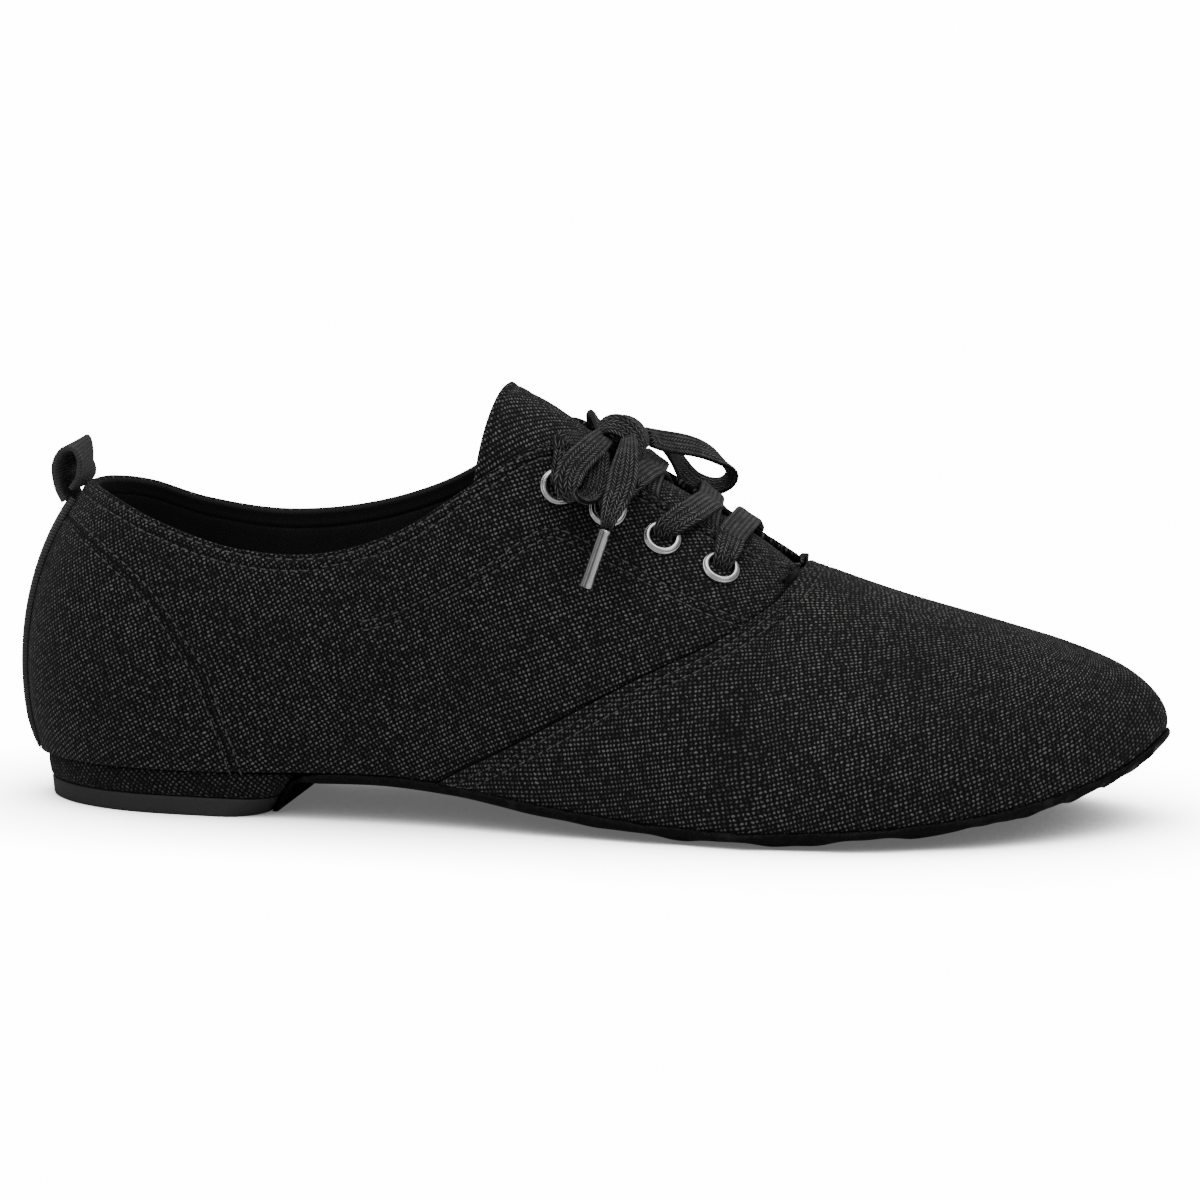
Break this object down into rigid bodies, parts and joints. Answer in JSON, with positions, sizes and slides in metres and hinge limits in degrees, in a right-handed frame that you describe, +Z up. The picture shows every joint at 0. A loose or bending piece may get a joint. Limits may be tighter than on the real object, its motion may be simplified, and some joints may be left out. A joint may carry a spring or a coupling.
{
  "type": "jazz shoe",
  "caption": "Low-heeled lace-up jazz shoe for the right foot: canvas upper with an arched tongue, thin full leather sole, covered heel with a rubber top piece, and a bow.",
  "frame": {"origin": "centre of the heel's rest face, on the floor", "axes": "+X towards the toe, -Y towards the outer side of the foot, +Z up"},
  "size_m": [0.2619, 0.0936, 0.0961],
  "materials": {
    "canvas_upper": "black cotton canvas, plain weave, matt",
    "canvas_tongue": "black cotton canvas, hemmed",
    "insole_cloth": "black drill sock lining over board",
    "sole_leather": "thin black sole leather, pleated at the edge",
    "heel_cover": "block covered in black canvas",
    "heel_rubber": "dark grey rubber top lift, satin",
    "tape": "black ribbed tape",
    "eyelet_metal": "nickel plated, bright",
    "lace_braid": "black flat braid",
    "aglet_metal": "plated sheet metal tube"
  },
  "bodies": {
    "root": {"upper": "canvas_upper", "tongue": "canvas_tongue", "insole": "insole_cloth", "outsole": "sole_leather", "heel_block": "heel_cover", "heel_lift": "heel_rubber", "back_strip": "tape", "eyelet_outer_1": "eyelet_metal", "eyelet_outer_2": "eyelet_metal", "eyelet_outer_3": "eyelet_metal", "eyelet_outer_4": "eyelet_metal", "eyelet_inner_1": "eyelet_metal", "eyelet_inner_2": "eyelet_metal", "eyelet_inner_3": "eyelet_metal", "eyelet_inner_4": "eyelet_metal", "lace_bar": "lace_braid", "lace_tie": "lace_braid", "lace_crossing_1": "lace_braid", "lace_crossing_2": "lace_braid", "lace_knot": "lace_braid", "lace_loop_outer": "lace_braid", "lace_loop_inner": "lace_braid", "lace_end_outer": "lace_braid", "aglet_outer": "aglet_metal", "lace_end_inner": "lace_braid", "aglet_inner": "aglet_metal", "pull_loop": "tape"}
  },
  "joints": []
}
